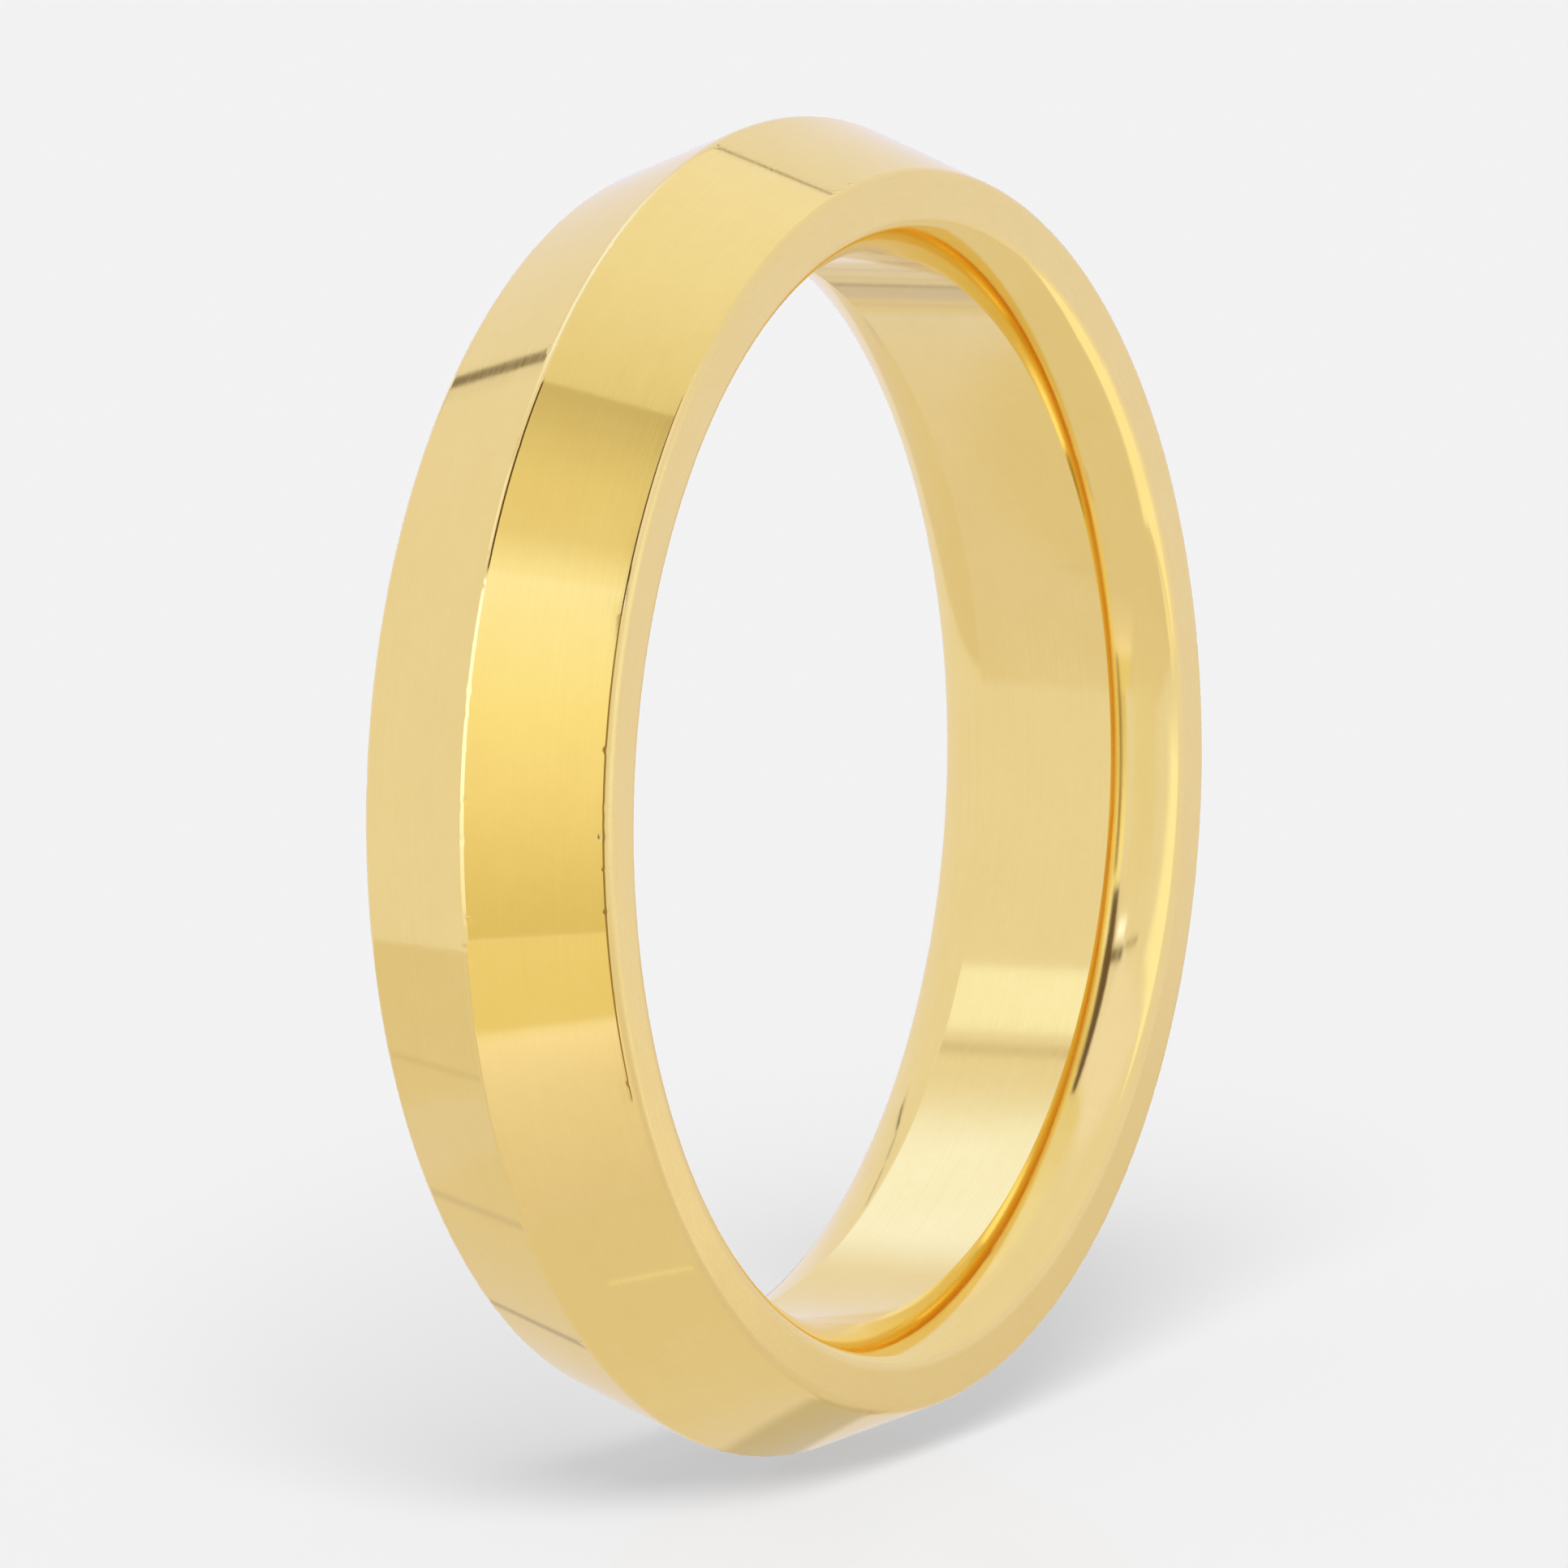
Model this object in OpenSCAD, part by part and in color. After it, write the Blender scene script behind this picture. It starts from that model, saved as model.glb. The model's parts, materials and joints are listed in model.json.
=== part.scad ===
// Knife-edge wedding band with a comfort-fit inside: one solid piece of gold.
// The band stands on its rim. Its axis runs along Y, +Z is up, and the origin is the
// centre of the finger hole. Every surface is a surface of revolution about that axis.

/* [Band] */
// Width of the band, from one side wall to the other
band_w = 5; // [4:0.1:7]
// Diameter of the finger hole
finger_d = 19.35; // [14:0.05:24]
// Thickness of the band under its ridge
ridge_t = 2.46; // [2.1:0.01:3.2]
// Thickness of the band at its side walls, before their outer corners are rounded
side_t = 1.53; // [1.25:0.01:1.9]

/* [Outer edges] */
// Radius that softens the ridge
ridge_r = 0.25; // [0.05:0.01:0.6]
// Radius of the corner between a flank and a side wall
corner_r = 0.22; // [0.05:0.01:0.3]

/* [Comfort fit] */
// Length of the eased part at each end of the finger hole
ease_l = 1.16; // [0.6:0.02:1.5]
// Radius of the long curve that eases the end of the hole
ease_r = 2.2; // [1.8:0.05:3]
// Angle between the straight hole and the start of that curve
ease_angle = 11.5; // [2:0.5:15]
// Radius that turns the long curve into the side wall
mouth_r = 0.41; // [0.1:0.01:0.5]

/* [Hidden] */
$fn = 256;

// A rounding's circle stands this far proud of the lines that it joins, so that they cross it.
cross = 0.0002;
// How far the cutting square of the comfort curve reaches past its circle.
clear = 0.5;

// Half the width, and the radii of the hole, the ridge and the side wall's sharp corner.
half_w = band_w / 2;
hole_r = finger_d / 2;
ridge_top = hole_r + ridge_t;
side_top = hole_r + side_t;

// Points of the section are [distance from the axis, distance along it].
function on_circle(centre, radius, angle) = centre + radius * [cos(angle), sin(angle)];

// The same point on the +Y side of the section (side 1) or on the other (side -1).
function on_side(point, side) = [point.x, side * point.y];

// The ridge's circle, and the slope of a flank that touches it and meets the side wall's corner.
ridge_c = [ridge_top - ridge_r, 0];
ridge_rise = ridge_c.x - side_top;
flank_angle = atan2(ridge_rise, half_w) + asin(ridge_r / norm([half_w, ridge_rise]));

// The outer corner's circle touches the flank and the side wall.
corner_reach = corner_r / tan((90 + flank_angle) / 2);
corner_c = [side_top - corner_reach, half_w - corner_r];

// The comfort curve's circle leaves the straight hole at ease_angle. The mouth's circle touches
// it from inside, mouth_angle further round, and also touches the side wall.
ease_c = [hole_r + ease_r * cos(ease_angle), half_w - ease_l - ease_r * sin(ease_angle)];
mouth_angle = asin((ease_l + ease_r * sin(ease_angle) - mouth_r) / (ease_r - mouth_r));
mouth_c = on_circle(ease_c, ease_r - mouth_r, 180 - mouth_angle);

// The mouth's chord, from the side wall to the comfort curve, carries on down to the hole.
mouth_top = on_circle(mouth_c, mouth_r, 90);
mouth_end = on_circle(mouth_c, mouth_r, 180 - mouth_angle);
chord = mouth_top - mouth_end;
chord_foot = [hole_r, mouth_end.y - chord.y * (mouth_end.x - hole_r) / chord.x];

// Straight lines of one side of the section, from the ridge round to the hole.
side_points = [
    on_circle(ridge_c, ridge_r, flank_angle),
    on_circle(corner_c, corner_r, flank_angle),
    on_circle(corner_c, corner_r, 90),
    mouth_top,
    chord_foot
];
far_side_points = [for (i = [len(side_points) - 1 : -1 : 0]) on_side(side_points[i], -1)];

module rounding(centre, radius) {
    translate(centre) circle(radius + cross);
}

// What a comfort curve takes off one end of the hole: all that lies outside its circle.
module ease_cut(side) {
    reach = ease_r + clear;
    difference() {
        translate(on_side(ease_c + [-reach, reach] / 2, side)) square(reach, center = true);
        translate(on_side(ease_c, side)) circle(ease_r);
    }
}

// The section with its comfort curves, and with every other corner cut off straight.
module straight_section() {
    difference() {
        polygon(concat(side_points, far_side_points));
        ease_cut(1);
        ease_cut(-1);
    }
}

module section() {
    straight_section();
    rounding(ridge_c, ridge_r);
    for (side = [1, -1]) {
        rounding(on_side(corner_c, side), corner_r);
        rounding(on_side(mouth_c, side), mouth_r);
    }
}

module band() {
    color("gold")
        rotate([90, 0, 0])
            rotate_extrude()
                section();
}

band();
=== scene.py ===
"""Knife-edge wedding band in yellow gold, standing on its rim on a pale studio floor.

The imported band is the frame. One finely meshed band of the same section stands for it, with
polished flanks, satin side walls, a comfort edge and a lined finger hole. Metres throughout.
"""
import json
import math
import random

import bpy
import numpy as np
from mathutils import Matrix, Vector


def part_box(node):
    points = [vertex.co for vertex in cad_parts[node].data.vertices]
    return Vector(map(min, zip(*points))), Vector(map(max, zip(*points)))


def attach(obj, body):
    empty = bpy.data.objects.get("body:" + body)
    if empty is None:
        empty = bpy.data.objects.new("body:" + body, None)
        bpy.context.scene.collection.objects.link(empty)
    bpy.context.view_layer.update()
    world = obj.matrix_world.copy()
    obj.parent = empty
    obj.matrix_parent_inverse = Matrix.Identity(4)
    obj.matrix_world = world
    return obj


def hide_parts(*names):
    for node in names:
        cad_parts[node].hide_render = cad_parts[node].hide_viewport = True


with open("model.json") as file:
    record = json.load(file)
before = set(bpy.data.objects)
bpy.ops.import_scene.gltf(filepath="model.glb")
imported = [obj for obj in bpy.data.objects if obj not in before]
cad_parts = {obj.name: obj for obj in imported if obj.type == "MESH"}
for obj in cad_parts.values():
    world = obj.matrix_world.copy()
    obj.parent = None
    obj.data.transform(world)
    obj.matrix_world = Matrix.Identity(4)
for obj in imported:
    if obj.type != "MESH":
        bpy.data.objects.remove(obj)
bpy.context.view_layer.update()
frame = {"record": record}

MM = 0.001

# ---------------------------------------------------------------- the band's section
low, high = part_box("band")
finger_bore = next(m for m in frame["record"]["mounts"] if m["name"] == "finger_bore")
HALF_W = (high[1] - low[1]) / 2
HOLE_R = finger_bore["dims"]["r_mm"] * MM
RIDGE_T = 2.46 * MM
SIDE_T = 1.53 * MM
RIDGE_TOP = HOLE_R + RIDGE_T
SIDE_TOP = HOLE_R + SIDE_T
RIDGE_R = 0.25 * MM
CORNER_R = 0.22 * MM
EASE_L = 1.16 * MM
EASE_R = 2.2 * MM
EASE_ANGLE = math.radians(11.5)
MOUTH_R = 0.41 * MM

# Angles of the section's normal: straight out of the band, along its axis, and inwards
OUT, SIDE, IN = 0.0, math.pi / 2, math.pi
# The satin finish covers the side wall and ends on the two roundings beside it
SATIN_FROM, SATIN_TO = math.radians(46), math.radians(116)

STEPS_ROUND = 1600
ZONES = ["flank", "wall", "comfort", "bore"]


class Section:
    """The flank's slope and the centres of the section's arcs, as (radius, width)."""

    ridge = np.array([RIDGE_TOP - RIDGE_R, 0.0])
    rise = ridge[0] - SIDE_TOP
    slope = math.atan2(rise, HALF_W) + math.asin(RIDGE_R / math.hypot(HALF_W, rise))
    corner = np.array([SIDE_TOP - CORNER_R / math.tan((SIDE + slope) / 2), HALF_W - CORNER_R])
    ease = np.array([HOLE_R + EASE_R * math.cos(EASE_ANGLE),
                     HALF_W - EASE_L - EASE_R * math.sin(EASE_ANGLE)])
    turn = math.asin((HALF_W - MOUTH_R - ease[1]) / (EASE_R - MOUTH_R))
    mouth = ease + (EASE_R - MOUTH_R) * np.array([-math.cos(turn), math.sin(turn)])


def arc(centre, radius, start, end, steps):
    """Points and normal angles along an arc of the section."""
    angles = np.linspace(start, end, steps + 1)
    return centre + radius * np.stack([np.cos(angles), np.sin(angles)], axis=1), angles


def straight(start, end, angle, shares=(0, 1)):
    """Points and normal angles along a straight stretch, at the given shares of its length."""
    share = np.array(shares)[:, None]
    points = np.asarray(start) + (np.asarray(end) - start) * share
    return points, np.full(len(points), angle)


# Rows on the flank, close together near its ends so that nicks there stay small
FLANK_ROWS = (0, 0.025, 0.06, 0.12, 0.88, 0.94, 0.975, 1)


def half_section():
    """(zone, points, angles) of each stretch, from the ridge round one side to mid bore."""
    s = Section
    top = arc(s.ridge, RIDGE_R, OUT, s.slope, 4)
    edge = arc(s.corner, CORNER_R, s.slope, SATIN_FROM, 3)
    edge_satin = arc(s.corner, CORNER_R, SATIN_FROM, SIDE, 3)
    lip_satin = arc(s.mouth, MOUTH_R, SIDE, SATIN_TO, 2)
    lip = arc(s.mouth, MOUTH_R, SATIN_TO, IN - s.turn, 3)
    comfort = arc(s.ease, EASE_R, IN - s.turn, IN - EASE_ANGLE, 6)
    return [
        ("flank", *top),
        ("flank", *straight(top[0][-1], edge[0][0], s.slope, FLANK_ROWS)),
        ("flank", *edge),
        ("wall", *edge_satin),
        ("wall", *straight(edge_satin[0][-1], lip_satin[0][0], SIDE)),
        ("wall", *lip_satin),
        ("comfort", *lip),
        ("comfort", *comfort),
        ("bore", *straight([HOLE_R, HALF_W - EASE_L], [HOLE_R, 0.0], IN)),
    ]


def whole_section():
    """(zone, points, angles, side) of the closed section: one half, then its mirror image."""
    half = half_section()
    back = [(zone, points[::-1], angles[::-1]) for zone, points, angles in reversed(half)]
    return [(*stretch, -1.0) for stretch in half] + [(*stretch, 1.0) for stretch in back]


# ---------------------------------------------------------------- nicks along the edges
random.seed(7)
RIDGE_NICKS, CORNER_NICKS = 90, 110
NICK_SIZE = (0.04, 0.08)
# Depth as a share of the size
NICK_DEPTH = (0.03, 0.10)
NICKS_BELOW_RIDGE = 0.02 * MM
NICKS_BESIDE_RIDGE = 0.05 * MM
LOWEST_CORNER_NICK = math.radians(60)
# How many sizes away from its centre a nick still presses the surface in
NICK_REACH = 3


def nicks():
    """(centre, radius, depth) of the small dents that wear leaves on the ridge and corners."""
    dents = []
    for k in range(RIDGE_NICKS + CORNER_NICKS):
        turn = random.uniform(0, 2 * math.pi)
        if k < RIDGE_NICKS:
            radius, width = RIDGE_TOP - NICKS_BELOW_RIDGE, random.gauss(0, NICKS_BESIDE_RIDGE)
        else:
            lean = random.uniform(Section.slope, LOWEST_CORNER_NICK)
            radius, width = Section.corner + CORNER_R * np.array([math.cos(lean), math.sin(lean)])
            width *= random.choice((-1, 1))
        centre = (radius * math.cos(turn), width, radius * math.sin(turn))
        size = random.uniform(*NICK_SIZE) * MM
        dents.append((np.array(centre), size, size * random.uniform(*NICK_DEPTH)))
    return dents


DENTS = nicks()


def worn(points, normals):
    """Points and normals of the surface with the nicks pressed into it."""
    depth = np.zeros(len(points))
    slope = np.zeros_like(points)
    for centre, size, deep in DENTS:
        away = points - centre
        near = np.nonzero((np.abs(away) < NICK_REACH * size).all(axis=1))[0]
        press = deep * np.exp(-(away[near] ** 2).sum(axis=1) / size ** 2)
        depth[near] += press
        slope[near] -= 2 * away[near] / size ** 2 * press[:, None]
    along = slope - normals * (slope * normals).sum(axis=1)[:, None]
    bent = normals + along
    return points - normals * depth[:, None], bent / np.linalg.norm(bent, axis=1)[:, None]


# ---------------------------------------------------------------- the band's mesh
def sweep(points, angles, side):
    """Points and normals of one stretch of the section, carried round the axis."""
    turn = np.linspace(0, 2 * math.pi, STEPS_ROUND, endpoint=False)[:, None] - math.pi / 2
    cos, sin, even = np.cos(turn), np.sin(turn), np.ones_like(turn)
    radius, width = points[:, 0], side * points[:, 1]
    out, along = np.cos(angles), side * np.sin(angles)
    place = np.stack([cos * radius, even * width, sin * radius], axis=2)
    normal = np.stack([cos * out, even * along, sin * out], axis=2)
    flat, bent = worn(place.reshape(-1, 3), normal.reshape(-1, 3))
    return flat.reshape(place.shape), bent.reshape(normal.shape)


def band_mesh(name):
    """The band as one closed mesh, with the section's own normals on every face corner."""
    verts, faces, normals, zones = [], [], [], []
    first = 0
    stretches = whole_section()
    total = sum(len(points) - 1 for _, points, _, _ in stretches)
    step = np.arange(STEPS_ROUND)
    ahead = (step + 1) % STEPS_ROUND
    for zone, points, angles, side in stretches:
        place, normal = sweep(points, angles, side)
        verts.append(place[:, :-1])
        for k in range(len(points) - 1):
            a, b = first + k, (first + k + 1) % total
            faces.append(np.stack([step * total + a, ahead * total + a,
                                   ahead * total + b, step * total + b], axis=1))
            normals.append(np.stack([normal[step, k], normal[ahead, k],
                                     normal[ahead, k + 1], normal[step, k + 1]], axis=1))
        zones += [ZONES.index(zone)] * (STEPS_ROUND * (len(points) - 1))
        first += len(points) - 1
    mesh = bpy.data.meshes.new(name)
    mesh.from_pydata(np.concatenate(verts, axis=1).reshape(-1, 3).tolist(), [],
                     np.concatenate(faces).tolist())
    mesh.polygons.foreach_set("material_index", zones)
    mesh.polygons.foreach_set("use_smooth", [True] * len(zones))
    mesh.update()
    mesh.normals_split_custom_set(np.concatenate(normals).reshape(-1, 3).tolist())
    return mesh


def add(name, data):
    """A new object in the scene."""
    obj = bpy.data.objects.new(name, data)
    bpy.context.scene.collection.objects.link(obj)
    return obj


# ---------------------------------------------------------------- node helpers
class Nodes:
    """A short way to write a node tree: add a node and set or link its inputs."""

    def __init__(self, owner):
        owner.use_nodes = True
        self.tree = owner.node_tree

    def clear(self):
        self.tree.nodes.clear()

    def link(self, output, socket):
        self.tree.links.new(output, socket)

    def add(self, kind, inputs=(), **settings):
        node = self.tree.nodes.new(kind)
        for key, value in settings.items():
            setattr(node, key, value)
        for key, value in dict(inputs).items():
            if isinstance(value, bpy.types.NodeSocket):
                self.link(value, node.inputs[key])
            else:
                node.inputs[key].default_value = value
        return node

    def math(self, operation, first, second=0.0):
        return self.add("ShaderNodeMath", {0: first, 1: second}, operation=operation).outputs[0]

    def spread(self, value, low_in, high_in, low_out, high_out, shape="LINEAR"):
        return self.add("ShaderNodeMapRange",
                        {"Value": value, "From Min": low_in, "From Max": high_in,
                         "To Min": low_out, "To Max": high_out},
                        interpolation_type=shape).outputs[0]


# ---------------------------------------------------------------- gold
GOLD = (0.955, 0.772, 0.302)
SATIN_GOLD = (0.93, 0.751, 0.325)
# What the red, green and blue of the gold are multiplied by to give its deepest tone
TONE_DROP = (0.96, 0.93, 0.86)
MOST_DEEP_TONE = 0.6
SMEAR = 1.4 * MM
MICRON = 0.001 * MM


def round_coordinates(n):
    """Distance round the band, width and radius of each point."""
    place = n.add("ShaderNodeSeparateXYZ", {0: n.add("ShaderNodeTexCoord").outputs["Object"]})
    x, y, z = place.outputs
    radius = n.math("SQRT", n.math("ADD", n.math("MULTIPLY", x, x), n.math("MULTIPLY", z, z)))
    return n.math("MULTIPLY", n.math("ARCTAN2", x, z), HOLE_R), y, radius


def streaks(n, length, width):
    """Noise drawn out round the band into hairlines of the given length and width."""
    round_, y, radius = round_coordinates(n)
    stretched = n.add("ShaderNodeCombineXYZ", {
        0: n.math("DIVIDE", round_, length),
        1: n.math("DIVIDE", y, width),
        2: n.math("DIVIDE", radius, width)})
    return n.add("ShaderNodeTexNoise", {"Vector": stretched.outputs[0], "Scale": 1.0,
                                        "Detail": 2.0, "Roughness": 0.6}).outputs["Fac"]


def cloud(n, size):
    """Even noise with blotches of the given size."""
    place = n.add("ShaderNodeTexCoord").outputs["Object"]
    return n.add("ShaderNodeTexNoise", {"Vector": place, "Scale": 1 / size, "Detail": 3.0,
                                        "Roughness": 0.55}).outputs["Fac"]


def gold(name, colour, rough, hairs, speck, relief):
    """Gold with hairlines round the band and a fine speckle.

    rough is the least and the greatest roughness, hairs the length and width of the hairlines,
    speck the size of the speckle, and relief the height of the hairlines and of the speckle.
    """
    deep = [c * drop for c, drop in zip(colour, TONE_DROP)]
    mat = bpy.data.materials.new(name)
    n = Nodes(mat)
    shader = n.tree.nodes["Principled BSDF"]
    shader.inputs["Metallic"].default_value = 1.0
    lines = streaks(n, *hairs)
    grain = cloud(n, speck)
    smear = cloud(n, SMEAR)
    broad = n.math("ADD", n.math("MULTIPLY", smear, 0.35), n.math("MULTIPLY", lines, 0.35))
    tone = n.math("ADD", broad, n.math("MULTIPLY", grain, 0.3))
    mixed = n.add("ShaderNodeMixRGB", {"Fac": n.spread(tone, 0.36, 0.64, 0.0, MOST_DEEP_TONE),
                                       "Color1": (*colour, 1), "Color2": (*deep, 1)})
    n.link(mixed.outputs[0], shader.inputs["Base Color"])
    wear = n.math("ADD", n.math("MULTIPLY", lines, 0.6), n.math("MULTIPLY", smear, 0.4))
    n.link(n.spread(wear, 0.3, 0.75, *rough), shader.inputs["Roughness"])
    fine = n.add("ShaderNodeBump", {"Height": lines, "Distance": relief[0], "Strength": 1.0})
    both = n.add("ShaderNodeBump", {"Height": grain, "Distance": relief[1], "Strength": 1.0,
                                    "Normal": fine.outputs[0]})
    n.link(both.outputs[0], shader.inputs["Normal"])
    return mat


def finishes():
    """The finishes of the band, in the order of ZONES."""
    return [
        gold("gold_polished", GOLD, (0.04, 0.10), hairs=(2.5 * MM, 0.04 * MM), speck=0.3 * MM,
             relief=(0.12 * MICRON, 0.3 * MICRON)),
        gold("gold_satin", SATIN_GOLD, (0.26, 0.38), hairs=(0.4 * MM, 0.06 * MM), speck=0.06 * MM,
             relief=(1.0 * MICRON, 4.5 * MICRON)),
        gold("gold_comfort", GOLD, (0.07, 0.13), hairs=(3.0 * MM, 0.06 * MM), speck=0.4 * MM,
             relief=(0.08 * MICRON, 0.4 * MICRON)),
        gold("gold_lined", GOLD, (0.06, 0.15), hairs=(4.0 * MM, 0.04 * MM), speck=0.2 * MM,
             relief=(0.12 * MICRON, 0.2 * MICRON)),
    ]


# ---------------------------------------------------------------- cards seen in the gold
# Distance of the far cards, in metres: so far that only their direction matters
FAR = 3.0
# Level and tint of everything the gold sees. They are set together with the colour of the gold,
# so that one reflection has the photograph's colour and repeated ones do not turn too red.
SEEN_LEVEL = (0.911, 0.868, 0.911)


def seen(*colour):
    """A reflected colour, at the level and the tint at which the gold sees all of its surround."""
    return (*(c * level for c, level in zip(colour, SEEN_LEVEL)), 1)


def toward(azimuth, elevation):
    """Unit vector; azimuth 0 looks along +Y and 90 along +X, both in degrees."""
    a, e = math.radians(azimuth), math.radians(elevation)
    return Vector((math.sin(a) * math.cos(e), math.cos(a) * math.cos(e), math.sin(e)))


def only_reflected(obj):
    """Leave the object visible only in reflections: in the gold, and faintly in the floor."""
    obj.visible_camera = False
    obj.visible_diffuse = False
    obj.visible_shadow = False


def card(name, corners, stops, soft=0.0, soft_ends=True):
    """A glowing card. Its colours run from its first edge to its last.

    soft is the share of the card over which its rim fades out. Without soft_ends the first and
    the last edge stay sharp.
    """
    mesh = bpy.data.meshes.new(name)
    mesh.from_pydata([tuple(c) for c in corners], [], [(0, 1, 2, 3)])
    mesh.uv_layers.new(name="card").data.foreach_set("uv", [0, 0, 1, 0, 1, 1, 0, 1])
    mat = bpy.data.materials.new(name)
    n = Nodes(mat)
    n.clear()
    uv = n.add("ShaderNodeSeparateXYZ", {0: n.add("ShaderNodeUVMap", uv_map="card").outputs[0]})
    ramp = n.add("ShaderNodeValToRGB", {0: uv.outputs["Y"]})
    marks = ramp.color_ramp.elements
    marks.remove(marks[1])
    for k, (at, colour) in enumerate(stops):
        mark = marks[0] if k == 0 else marks.new(at)
        mark.position, mark.color = at, seen(*colour)
    glow = n.add("ShaderNodeEmission", {"Color": ramp.outputs[0]}).outputs[0]
    if soft:
        inside = n.math("PINGPONG", uv.outputs["X"], 0.5)
        if soft_ends:
            inside = n.math("MINIMUM", inside, n.math("PINGPONG", uv.outputs["Y"], 0.5))
        share = n.spread(inside, 0.0, soft, 0.0, 1.0, "SMOOTHSTEP")
        clear = n.add("ShaderNodeBsdfTransparent").outputs[0]
        glow = n.add("ShaderNodeMixShader", {0: share, 1: clear, 2: glow}).outputs[0]
    n.add("ShaderNodeOutputMaterial", {"Surface": glow})
    mesh.materials.append(mat)
    obj = add(name, mesh)
    only_reflected(obj)


def far_card(name, start, end, half_width, stops, **fade):
    """A distant card from one direction to another, half_width degrees to either side."""
    a, b = toward(*start) * FAR, toward(*end) * FAR
    across = a.cross(b).normalized() * FAR * math.tan(math.radians(half_width))
    card(name, (a - across, a + across, b + across, b - across), stops, **fade)


def near_card(name, corners, stops, **fade):
    """A card close to the band, with its corners in millimetres."""
    card(name, [[c * MM for c in corner] for corner in corners], stops, **fade)


def plain(*colour):
    """The stops of a card of one colour."""
    return [(0.0, colour)]


# Places of the standing cards, in millimetres
FLOOR = -RIDGE_TOP / MM
CARD_X, CARD_TOP = -50, 42
HOOD_X, HOOD_TOP = -22, 64
NEAR_X, NEAREST_X = -20, -14


def upright(name, low_edge, high_edge, stops, x=CARD_X, bottom=FLOOR, top=CARD_TOP, **fade):
    """A card standing to the left; each edge is where it starts and ends along the axis."""
    near_card(name, [(x, low_edge[1], bottom), (x, low_edge[0], bottom),
                     (x, high_edge[0], top), (x, high_edge[1], top)], stops, **fade)


def hood(name, low_edge, high_edge, stops):
    """A card leaning in over the band from the top of the upright ones."""
    near_card(name, [(CARD_X, low_edge[1], CARD_TOP), (CARD_X, low_edge[0], CARD_TOP),
                     (HOOD_X, high_edge[0], HOOD_TOP), (HOOD_X, high_edge[1], HOOD_TOP)], stops)


def left_cards():
    """The cards to the left of the band, which its front flank and its ridge reflect."""
    upright("card_low", (-13, -3), (-14, -3),
            [(0.0, (0.85, 0.77, 0.44)), (0.12, (0.90, 0.83, 0.50)), (0.33, (1.04, 0.98, 0.68)),
             (0.55, (1.14, 1.12, 0.80)), (0.8, (1.16, 1.19, 1.05)), (1.0, (1.18, 1.24, 1.25))])
    hood("card_high", (-15, -2), (-15, -2),
         [(0.0, (1.16, 1.19, 1.10)), (0.22, (0.96, 0.91, 0.67)), (0.5, (0.93, 0.88, 0.63)),
          (0.8, (0.78, 0.73, 0.52)), (1.0, (0.70, 0.65, 0.46))])
    hood("edge_inner", (-2, 12), (-2, 10), plain(0.14, 0.08, 0.04))
    upright("window", (-3, 24), (-3, 24),
            [(0.0, (1.1, 1.1, 1.1)), (0.4, (1.5, 1.6, 2.1)), (1.0, (1.6, 1.7, 2.3))], soft=0.1)
    upright("side_soft", (-58, -17), (-58, -17),
            [(0.0, (0.92, 0.90, 0.84)), (0.6, (0.93, 0.92, 0.89)), (1.0, (0.95, 0.95, 1.0))],
            top=34, soft=0.25, soft_ends=False)
    upright("edge_low", (-4.0, -3.02), (-4.6, -3.25), plain(0.38, 0.28, 0.13), x=NEAREST_X,
            bottom=-7.5, top=7.8)
    upright("edge_mid", (-8.2, -4.85), (-11, -5.9), plain(0.14, 0.09, 0.05), x=NEAR_X,
            bottom=12.2, top=26)
    upright("edge_high", (-11, -5.9), (-15, -9.8), plain(0.14, 0.09, 0.06), x=NEAR_X, bottom=26, top=80)


def border_cards():
    """The dark rim of the big panel in front and to the left, and the glint beneath it."""
    upright("border_near", (-36, -16), (-36, -16), plain(0.18, 0.13, 0.10),
            bottom=46, top=52, soft=0.15)
    upright("border_mid", (-58, -34), (-58, -34), plain(0.45, 0.40, 0.36), bottom=44.5, top=48, soft=0.25)
    far_card("border_far", (-136, 38.5), (-176, 60), 0.9, plain(0.55, 0.50, 0.46), soft=0.4)
    upright("glint", (-33, -19), (-33, -19), plain(1.6, 1.8, 2.8), bottom=36, top=44, soft=0.35)


# The table top as the gold sees it lies in layers just under the floor that the camera sees
TABLE_Z = (FLOOR - 0.04, FLOOR - 0.03, FLOOR - 0.02)
TABLE_R = 47
TABLE_COLOUR = (0.86, 0.825, 0.755)
TABLE_SIDES = 96


def table_card(name, corners, stops, layer=1, **fade):
    """A patch of the table top, with its corners as (x, y) in millimetres."""
    near_card(name, [(x, y, TABLE_Z[layer]) for x, y in corners], stops, **fade)


def stripe(name, start, end, width, *colour):
    """A narrow stripe across the table top."""
    a, b = Vector(start), Vector(end)
    across = (b - a).orthogonal().normalized() * width / 2
    table_card(name, (a - across, a + across, b + across, b - across), plain(*colour), layer=2,
               soft=0.5, soft_ends=False)


def table_disc():
    """The table top's round edge, which is the horizon in the back flank."""
    turns = np.linspace(0, 2 * math.pi, TABLE_SIDES, endpoint=False)
    mesh = bpy.data.meshes.new("table")
    mesh.from_pydata([(TABLE_R * MM * math.cos(a), TABLE_R * MM * math.sin(a), TABLE_Z[0] * MM)
                      for a in turns], [], [range(len(turns))])
    mat = bpy.data.materials.new("table")
    n = Nodes(mat)
    n.clear()
    glow = n.add("ShaderNodeEmission", {"Color": seen(*TABLE_COLOUR)})
    n.add("ShaderNodeOutputMaterial", {"Surface": glow.outputs[0]})
    mesh.materials.append(mat)
    obj = add("table", mesh)
    only_reflected(obj)


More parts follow.
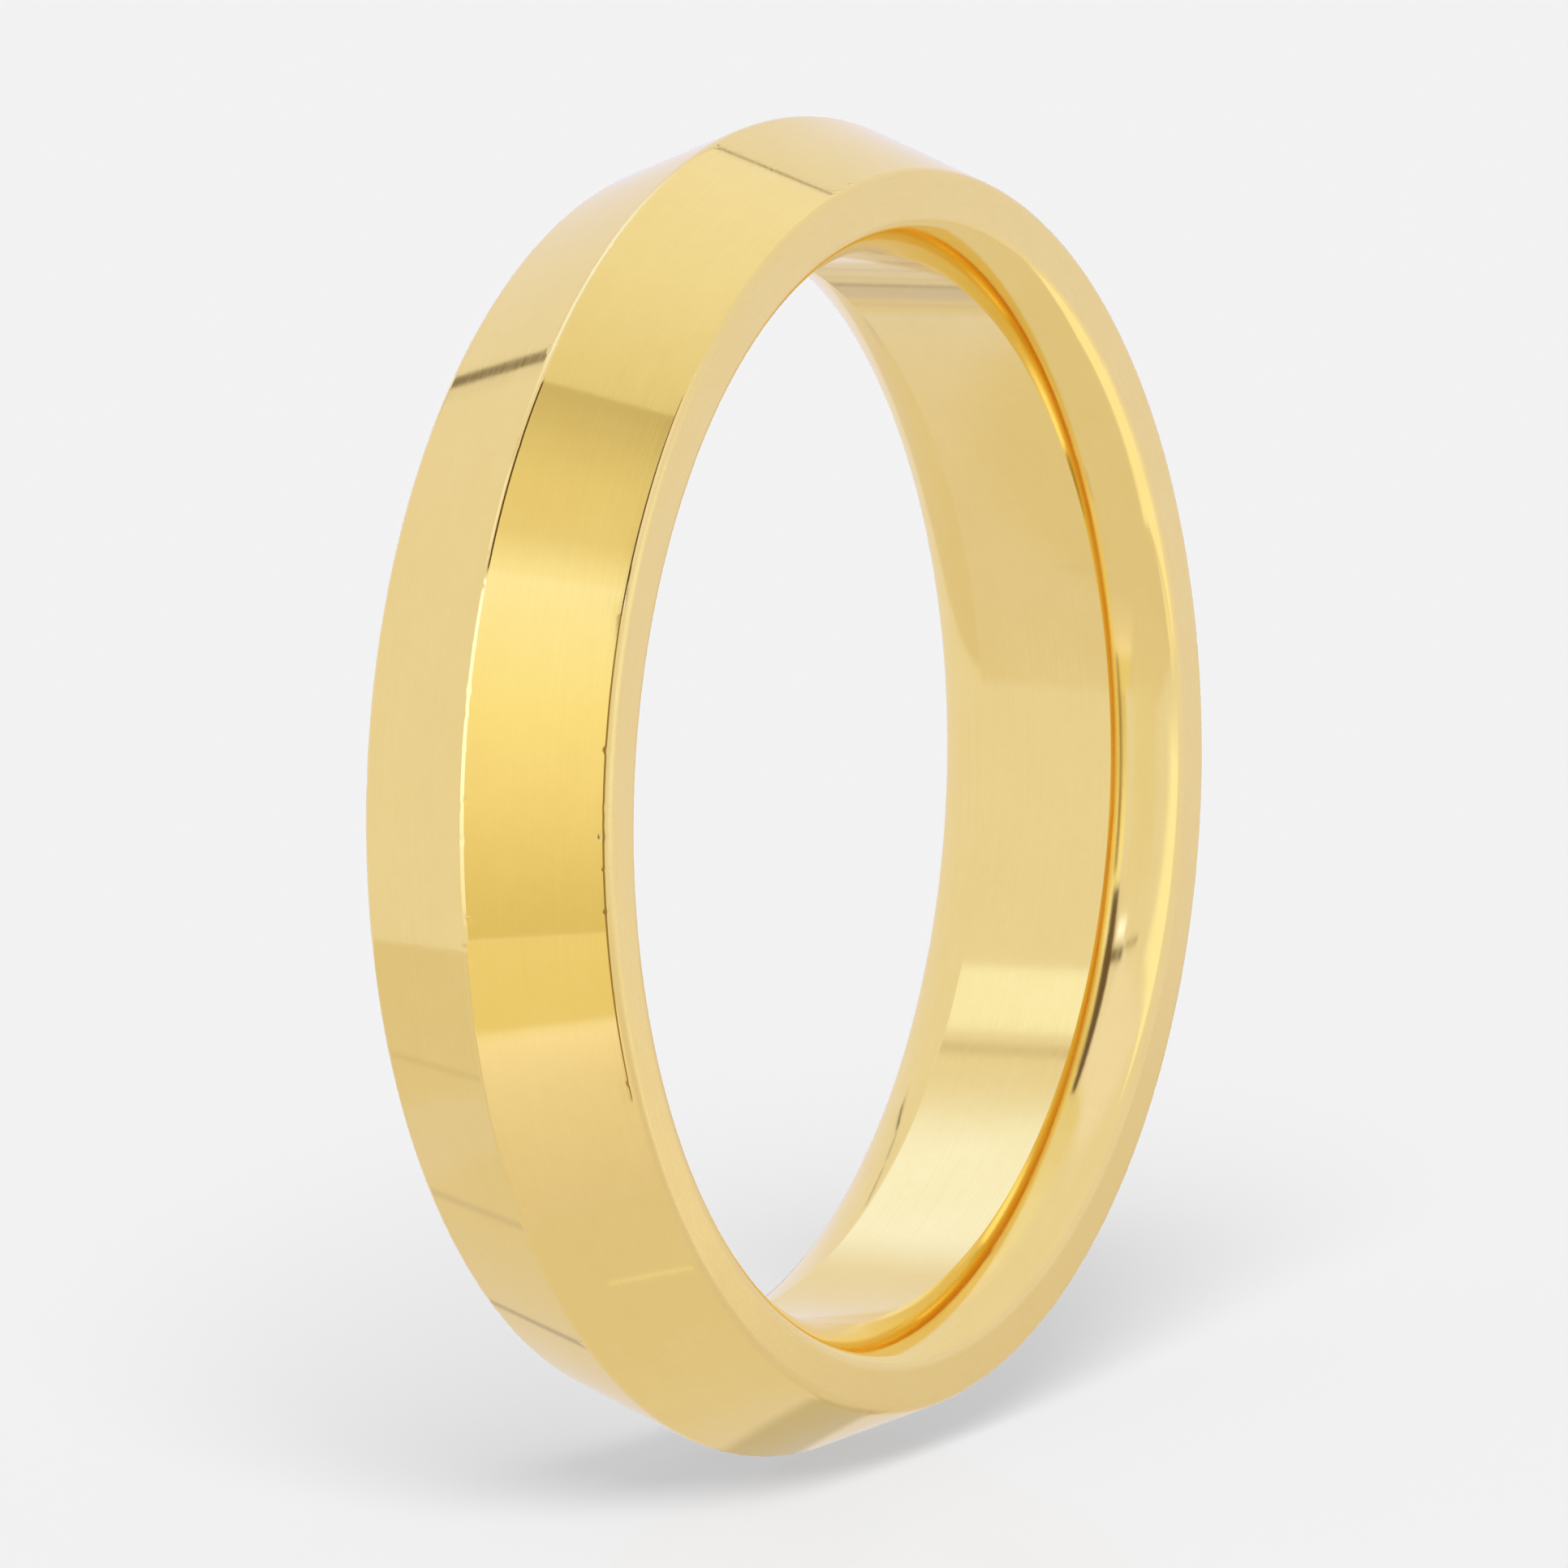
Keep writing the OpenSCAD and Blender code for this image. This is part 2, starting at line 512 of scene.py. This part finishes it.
def table():
    """The table top with its warm end, patches of painted light and painted shadow, and faint lines
    across it.
    """
    table_disc()
    table_card("table_end", [(-50, 8), (-50, -15), (-26, -15), (-26, 8)],
               [(0.0, (1.08, 1.05, 0.88)), (0.05, (0.99, 0.92, 0.60)), (0.93, (0.96, 0.89, 0.56)),
                (0.97, (1.09, 1.06, 0.95)), (1.0, (1.09, 1.06, 0.95))])
    table_card("table_glow", [(-26, 8), (-26, -15), (-13, -15), (-13, 8)],
               [(0.0, (1.12, 1.08, 1.05)), (0.4, (0.99, 0.95, 0.91)), (1.0, (0.87, 0.83, 0.80))])
    table_card("side_fade", [(-50, -15), (-50, -58), (-10, -44), (-10, -13)],
               [(0.0, (0.92, 0.90, 0.84)), (1.0, (0.87, 0.84, 0.78))], soft=0.15, soft_ends=False)
    # Painted light: brighter patches of the table in front of the band, where the key light falls on the
    # floor, as the gold mirrors them.
    table_card("front_left_lit", [(-9, -38), (-9, -66), (14, -58), (-1, -21)], plain(1.08, 1.07, 0.95),
               soft=0.2)
    table_card("front_right_lit", [(-1, -19.5), (14, -60), (40, -30), (10.5, -12.4)],
               plain(1.20, 1.20, 1.06))
    table_card("cool_far", [(-42, 31), (-42, 19), (-13, 11), (-13, 17)],
               [(0.0, (0.91, 0.90, 0.92)), (0.5, (0.90, 0.88, 0.90)), (1.0, (0.88, 0.86, 0.90))],
               soft=0.5, soft_ends=False)
    table_card("cool_near", [(-13, 17), (-13, 11), (16, 8), (16, 15)],
               [(0.0, (0.88, 0.86, 0.90)), (0.5, (0.88, 0.86, 0.91)), (1.0, (0.90, 0.91, 1.06))],
               soft=0.3, soft_ends=False)
    table_card("table_shade", [(18.4, 6), (23, 6), (23, 24), (18.4, 24)],
               plain(0.72, 0.70, 0.80), soft=0.3)
    # Painted shadow: a darker patch of the table right at the band's foot, as the gold mirrors it.
    table_card("table_foot_shadow", [(-3.4, 1.5), (-3.4, -3.5), (-0.5, -3.5), (-0.5, 1.5)],
               plain(0.66, 0.62, 0.50), soft=0.2)
    # The three darker stripes are painted shadow: the edges of the band's shadows on the table, as the
    # gold mirrors them. The pale one is a lighter stripe.
    stripe("shadow_line_far", (-14.3, 16.6), (-12.9, 21), 0.9, 0.77, 0.74, 0.68)
    stripe("shadow_line_mid", (-8.7, 7.9), (-7.5, 11.4), 0.6, 0.74, 0.70, 0.70)
    stripe("shadow_line_near", (-5.0, 4.4), (-3.6, 7.6), 0.45, 0.52, 0.50, 0.52)
    stripe("line_pale", (-9.9, -0.9), (-9.3, -2.6), 0.35, 0.97, 0.93, 0.84)
    for k, (x, y, width, level) in enumerate([(17.8, 13, 0.5, 0.60), (23.3, 15.4, 2.2, 0.42),
                                              (26.6, 16.8, 0.9, 0.60), (32.0, 19.2, 1.4, 0.58)]):
        stripe(f"line_bore_{k}", (x, y - 3), (x, y + 3), width, level, level * 0.96, level * 1.05)


def sky_cards():
    """The distant cards: bright panels overhead and the thin dark seams beside them."""
    far_card("panel_back", (57, 33), (-28, 57), 12, plain(1.12, 1.30, 1.90), soft=0.35)
    far_card("seam_back", (-33, 55.5), (-37.5, 53.5), 8, plain(0.76, 0.72, 0.72), soft=0.3)
    far_card("panel_left", (-38.5, 52.8), (-52.5, 40), 9, plain(1.12, 1.24, 1.48), soft=0.16)
    far_card("lobe_high", (-112, 68), (75, 41), 16,
             [(0.0, (0.89, 0.86, 0.66)), (0.2, (0.93, 0.91, 0.78)), (0.5, (1.01, 1.03, 1.01)),
              (0.8, (1.04, 1.06, 1.10)), (1.0, (1.03, 1.05, 1.12))], soft=0.25, soft_ends=False)
    far_card("lobe_front", (-140, 33), (-138, 76), 22, plain(1.02, 1.03, 1.26), soft=0.3)
    far_card("seam_a", (19.0, 24), (19.6, 31.2), 1.1, plain(0.22, 0.18, 0.15), soft=0.2)
    far_card("seam_b", (19.6, 31.2), (25, 33.4), 0.6, plain(0.22, 0.18, 0.15), soft=0.2)
    far_card("seam_c", (25, 33.4), (36, 34), 0.5, plain(0.24, 0.20, 0.16), soft=0.2)
    far_card("seam_glow", (16.9, 23), (17.5, 31), 1.4, plain(0.80, 0.78, 0.80), soft=0.45)
    far_card("seam_d", (62, 43.2), (85, 38.5), 0.4, plain(0.32, 0.28, 0.22), soft=0.2)


def front_card():
    """The soft panel in front of the band, which lights the comfort edge."""
    near_card("panel_front", [(-38, -59, FLOOR), (14, -62, FLOOR), (14, -62, 44), (-38, -59, 44)],
              plain(1.18, 1.25, 1.22), soft=0.2)


# ---------------------------------------------------------------- studio
# Grey of the backdrop that the camera sees
PALE = 0.896
MIRRORED = seen(0.95, 0.96, 1.04)
WORLD_LIGHT = 0.1
KEY_ELEVATION, KEY_AZIMUTH, KEY_SPREAD = 47, -122, 34
KEY_STRENGTH, FILL_STRENGTH = 1.3, 1.89
FLOOR_ALBEDO = 0.9
FLOOR_GLOSS = 0.055
FLOOR_ROUGHNESS = 0.06
FLOOR_REACH = 4.0


def studio_world():
    """Three even surrounds: what the camera sees, what the gold mirrors, and what lights the floor."""
    world = bpy.data.worlds.new("studio")
    bpy.context.scene.world = world
    n = Nodes(world)
    n.clear()
    path = n.add("ShaderNodeLightPath")
    seen = n.add("ShaderNodeBackground", {"Color": (PALE, PALE, PALE, 1)})
    mirrored = n.add("ShaderNodeBackground", {"Color": MIRRORED})
    lit = n.add("ShaderNodeBackground", {"Strength": WORLD_LIGHT, "Color": (1, 1, 1, 1)})
    unseen = n.add("ShaderNodeMixShader", {0: path.outputs["Is Glossy Ray"],
                                           1: lit.outputs[0], 2: mirrored.outputs[0]})
    mix = n.add("ShaderNodeMixShader", {0: path.outputs["Is Camera Ray"],
                                        1: unseen.outputs[0], 2: seen.outputs[0]})
    n.add("ShaderNodeOutputWorld", {"Surface": mix.outputs[0]})


def lamp(name, direction, strength, spread, shadow):
    """A distant light from the given direction, which the gold does not mirror."""
    data = bpy.data.lights.new(name, "SUN")
    data.energy, data.angle = strength, math.radians(spread)
    data.use_shadow = shadow
    obj = add(name, data)
    obj.rotation_euler = direction.to_track_quat("Z", "Y").to_euler()
    obj.visible_glossy = False


def lamps():
    """A broad key light above the camera, for the shadow at the foot, and a shadowless fill."""
    lamp("key", toward(KEY_AZIMUTH, KEY_ELEVATION), KEY_STRENGTH, KEY_SPREAD, shadow=True)
    lamp("fill", toward(0, 90), FILL_STRENGTH, 0, shadow=False)


def floor():
    """A pale floor with a faint mirror image of the band in it."""
    reach = FLOOR_REACH
    mesh = bpy.data.meshes.new("floor")
    mesh.from_pydata([(-reach, -reach, -RIDGE_TOP), (reach, -reach, -RIDGE_TOP),
                      (reach, reach, -RIDGE_TOP), (-reach, reach, -RIDGE_TOP)], [], [(0, 1, 2, 3)])
    mat = bpy.data.materials.new("floor")
    n = Nodes(mat)
    n.clear()
    matt = n.add("ShaderNodeBsdfDiffuse", {"Color": (FLOOR_ALBEDO, FLOOR_ALBEDO, FLOOR_ALBEDO, 1)})
    shine = n.add("ShaderNodeBsdfGlossy", {"Roughness": FLOOR_ROUGHNESS})
    both = n.add("ShaderNodeMixShader", {0: FLOOR_GLOSS, 1: matt.outputs[0], 2: shine.outputs[0]})
    n.add("ShaderNodeOutputMaterial", {"Surface": both.outputs[0]})
    mesh.materials.append(mat)
    ground = add("floor", mesh)
    ground.visible_glossy = False


# ---------------------------------------------------------------- camera
CAMERA_AZIMUTH, CAMERA_ELEVATION, CAMERA_ROLL = (math.radians(a) for a in (-60.75, 8.90, -2.54))
CAMERA_DISTANCE = 309.73 * MM
CAMERA_SIDEWAYS, CAMERA_UPWARD = -0.2075 * MM, 0.05 * MM
FOCAL_MM, SENSOR_MM = 392.8, 36.0


def camera():
    """A long lens from the left of the band and a little above it."""
    az, el, roll = CAMERA_AZIMUTH, CAMERA_ELEVATION, CAMERA_ROLL
    back = Vector((math.sin(az) * math.cos(el), -math.cos(az) * math.cos(el), math.sin(el)))
    level = Vector((math.cos(az), math.sin(az), 0))
    right = math.cos(roll) * level + math.sin(roll) * back.cross(level)
    up = back.cross(right)
    data = bpy.data.cameras.new("camera")
    data.lens, data.sensor_width = FOCAL_MM, SENSOR_MM
    data.clip_start, data.clip_end = 10 * MM, 20.0
    obj = add("camera", data)
    place = back * CAMERA_DISTANCE + right * CAMERA_SIDEWAYS + up * CAMERA_UPWARD
    obj.matrix_world = Matrix.Translation(place) @ Matrix((right, up, back)).transposed().to_4x4()
    bpy.context.scene.camera = obj


MIRROR_BOUNCES = 24
# Rays pass through the faded rims of this many cards
SOFT_RIM_BOUNCES = 16


def light_transport():
    """Enough bounces for the finger hole, which mirrors itself, and plain colour output."""
    scene = bpy.context.scene
    scene.view_settings.view_transform = "Standard"
    scene.cycles.max_bounces = MIRROR_BOUNCES
    scene.cycles.glossy_bounces = MIRROR_BOUNCES
    scene.cycles.transparent_max_bounces = SOFT_RIM_BOUNCES
    scene.cycles.caustics_reflective = False


camera()
studio_world()
lamps()
floor()
left_cards()
border_cards()
table()
sky_cards()
front_card()
light_transport()

band = add("band_gold", band_mesh("band_gold"))
for finish in finishes():
    band.data.materials.append(finish)
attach(band, "root")
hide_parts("band")
